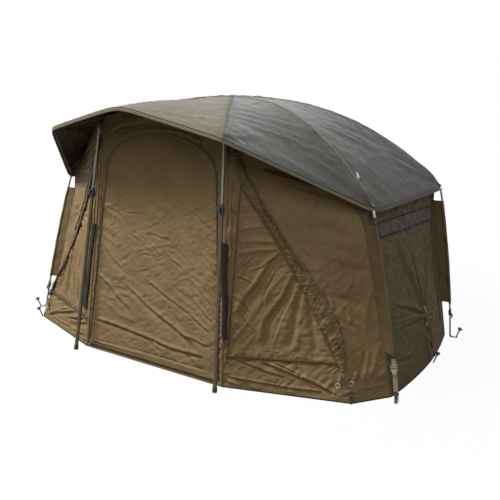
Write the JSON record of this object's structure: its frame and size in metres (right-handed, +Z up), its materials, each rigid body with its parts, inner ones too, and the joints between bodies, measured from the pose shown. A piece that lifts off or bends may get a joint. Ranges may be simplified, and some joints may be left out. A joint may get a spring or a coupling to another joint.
{
  "type": "bivvy tent",
  "caption": "Pitched bivvy tent: ribbed umbrella canopy with a raised front peak on telescopic poles, walls with a zipped door and windows, and pegged corner straps.",
  "frame": {"origin": "on the ground, in the middle of the tent's length and width", "axes": "+X to the right seen from in front, +Y to the back, +Z up; the door faces -Y"},
  "size_m": [2.6194, 2, 1.4114],
  "materials": {
    "roof_cloth": "matt coated ripstop, dark grey-green",
    "peak_cloth": "matt coated cloth, light grey-beige",
    "wall_cloth": "matt coated cloth, olive brown",
    "side_cloth": "matt coated cloth, olive brown in shade",
    "binding_tape": "folded tape, light beige",
    "pole_metal": "satin anodised, olive bronze",
    "rib_metal": "satin black",
    "fittings": "moulded nylon, black",
    "webbing": "woven strap over a thin bar, dark brown",
    "peg_steel": "black coated",
    "cord": "round braided cord, black"
  },
  "bodies": {
    "shelter": {"crown_block": "fittings", "crown_cap": "fittings", "peak_rod": "rib_metal", "brim_binding": "binding_tape", "gore_peak": "peak_cloth", "gore_back": "roof_cloth", "door_surround": "wall_cloth", "back_wall": "side_cloth", "gore_front_right": "roof_cloth", "gore_front_left": "roof_cloth", "gore_side_right": "roof_cloth", "gore_side_left": "roof_cloth", "gore_quarter_right": "roof_cloth", "gore_quarter_left": "roof_cloth", "rib_brim_right": "rib_metal", "rib_brim_left": "rib_metal", "rib_front_right": "rib_metal", "rib_front_left": "rib_metal", "rib_rear_right": "rib_metal", "rib_rear_left": "rib_metal", "rib_back_right": "rib_metal", "rib_back_left": "rib_metal", "pole_inner_right": "pole_metal", "pole_inner_left": "pole_metal", "corner_bar_front_right": "webbing", "corner_bar_front_left": "webbing", "corner_bar_rear_right": "webbing", "corner_bar_rear_left": "webbing", "corner_sleeve_front_right": "wall_cloth", "corner_sleeve_front_left": "wall_cloth", "corner_sleeve_rear_right": "wall_cloth", "corner_sleeve_rear_left": "wall_cloth", "wing_wall_right": "wall_cloth", "wing_wall_left": "wall_cloth", "side_wall_right": "side_cloth", "side_wall_left": "side_cloth", "storm_guy_right": "cord", "storm_guy_left": "cord"},
    "door": {"door_panel": "wall_cloth"},
    "door_slider": {"door_zip_slider": "fittings"},
    "window_right": {"window_flap_right": "wall_cloth"},
    "window_slider_right": {"window_zip_slider_right": "fittings"},
    "pole_right": {"pole_outer_right": "pole_metal"},
    "knob_right": {"pole_knob_right": "fittings"},
    "buckle_front_right": {"strap_buckle_front_right": "fittings"},
    "buckle_rear_right": {"strap_buckle_rear_right": "fittings"},
    "peg_corner_right_body": {"peg_corner_right": "peg_steel"},
    "peg_front_right_body": {"peg_front_right": "peg_steel"},
    "peg_rear_right_body": {"peg_rear_right": "peg_steel"},
    "peg_guy_right_body": {"peg_guy_right": "peg_steel"},
    "window_left": {"window_flap_left": "wall_cloth"},
    "window_slider_left": {"window_zip_slider_left": "fittings"},
    "pole_left": {"pole_outer_left": "pole_metal"},
    "knob_left": {"pole_knob_left": "fittings"},
    "buckle_front_left": {"strap_buckle_front_left": "fittings"},
    "buckle_rear_left": {"strap_buckle_rear_left": "fittings"},
    "peg_corner_left_body": {"peg_corner_left": "peg_steel"},
    "peg_front_left_body": {"peg_front_left": "peg_steel"},
    "peg_rear_left_body": {"peg_rear_left": "peg_steel"},
    "peg_guy_left_body": {"peg_guy_left": "peg_steel"}
  },
  "joints": [
    {"name": "door_fold_down", "type": "hinge", "parent": "shelter", "child": "door", "pos_m": [0, -0.84319, 0.02], "axis": [1, 0, 0], "range_deg": [0, 96]},
    {"name": "door_slider_round_arch", "type": "hinge", "parent": "shelter", "child": "door_slider", "pos_m": [0, -0.77535, 0.583], "axis": [0, -0.9928, 0.1196], "range_deg": [-24, 24]},
    {"name": "window_open_right", "type": "hinge", "parent": "shelter", "child": "window_right", "pos_m": [0.506, -0.6916, 1.03], "axis": [-0.533, -0.0679, 0.8434], "range_deg": [0, 120]},
    {"name": "window_slider_up_right", "type": "slide", "parent": "shelter", "child": "window_slider_right", "axis": [0, 0.1401, 0.9901], "range_m": [0, 0.78]},
    {"name": "pole_telescope_right", "type": "slide", "parent": "shelter", "child": "pole_right", "axis": [-0.0577, 0.1554, 0.9862], "range_m": [0, 0.29]},
    {"name": "knob_turn_right", "type": "hinge", "parent": "pole_right", "child": "knob_right", "pos_m": [0.44864, -0.79033, 0.89676], "axis": [0, -0.9878, 0.1557], "range_deg": [0, 270]},
    {"name": "buckle_slide_front_right", "type": "slide", "parent": "shelter", "child": "buckle_front_right", "axis": [0.1764, -0.1126, -0.9779], "range_m": [0, 0.11]},
    {"name": "buckle_slide_rear_right", "type": "slide", "parent": "shelter", "child": "buckle_rear_right", "axis": [0.065, 0.0298, -0.9974], "range_m": [0, 0.11]},
    {"name": "peg_pull_corner_right", "type": "slide", "parent": "shelter", "child": "peg_corner_right_body", "axis": [0.1658, -0.2991, 0.9397], "range_m": [0, 0.18]},
    {"name": "peg_pull_front_right", "type": "slide", "parent": "shelter", "child": "peg_front_right_body", "axis": [0.1114, -0.3234, 0.9397], "range_m": [0, 0.18]},
    {"name": "peg_pull_rear_right", "type": "slide", "parent": "shelter", "child": "peg_rear_right_body", "axis": [0.342, 0, 0.9397], "range_m": [0, 0.18]},
    {"name": "peg_pull_guy_right", "type": "slide", "parent": "shelter", "child": "peg_guy_right_body", "axis": [0.342, 0, 0.9397], "range_m": [0, 0.18]},
    {"name": "window_open_left", "type": "hinge", "parent": "shelter", "child": "window_left", "pos_m": [-0.506, -0.6916, 1.03], "axis": [-0.533, 0.0679, -0.8434], "range_deg": [0, 120]},
    {"name": "window_slider_up_left", "type": "slide", "parent": "shelter", "child": "window_slider_left", "axis": [0, 0.1401, 0.9901], "range_m": [0, 0.78]},
    {"name": "pole_telescope_left", "type": "slide", "parent": "shelter", "child": "pole_left", "axis": [0.0577, 0.1554, 0.9862], "range_m": [0, 0.29]},
    {"name": "knob_turn_left", "type": "hinge", "parent": "pole_left", "child": "knob_left", "pos_m": [-0.44864, -0.79033, 0.89676], "axis": [0, -0.9878, 0.1557], "range_deg": [0, 270]},
    {"name": "buckle_slide_front_left", "type": "slide", "parent": "shelter", "child": "buckle_front_left", "axis": [-0.1764, -0.1126, -0.9779], "range_m": [0, 0.11]},
    {"name": "buckle_slide_rear_left", "type": "slide", "parent": "shelter", "child": "buckle_rear_left", "axis": [-0.065, 0.0298, -0.9974], "range_m": [0, 0.11]},
    {"name": "peg_pull_corner_left", "type": "slide", "parent": "shelter", "child": "peg_corner_left_body", "axis": [-0.1658, -0.2991, 0.9397], "range_m": [0, 0.18]},
    {"name": "peg_pull_front_left", "type": "slide", "parent": "shelter", "child": "peg_front_left_body", "axis": [-0.1114, -0.3234, 0.9397], "range_m": [0, 0.18]},
    {"name": "peg_pull_rear_left", "type": "slide", "parent": "shelter", "child": "peg_rear_left_body", "axis": [-0.342, 0, 0.9397], "range_m": [0, 0.18]},
    {"name": "peg_pull_guy_left", "type": "slide", "parent": "shelter", "child": "peg_guy_left_body", "axis": [-0.342, 0, 0.9397], "range_m": [0, 0.18]}
  ]
}
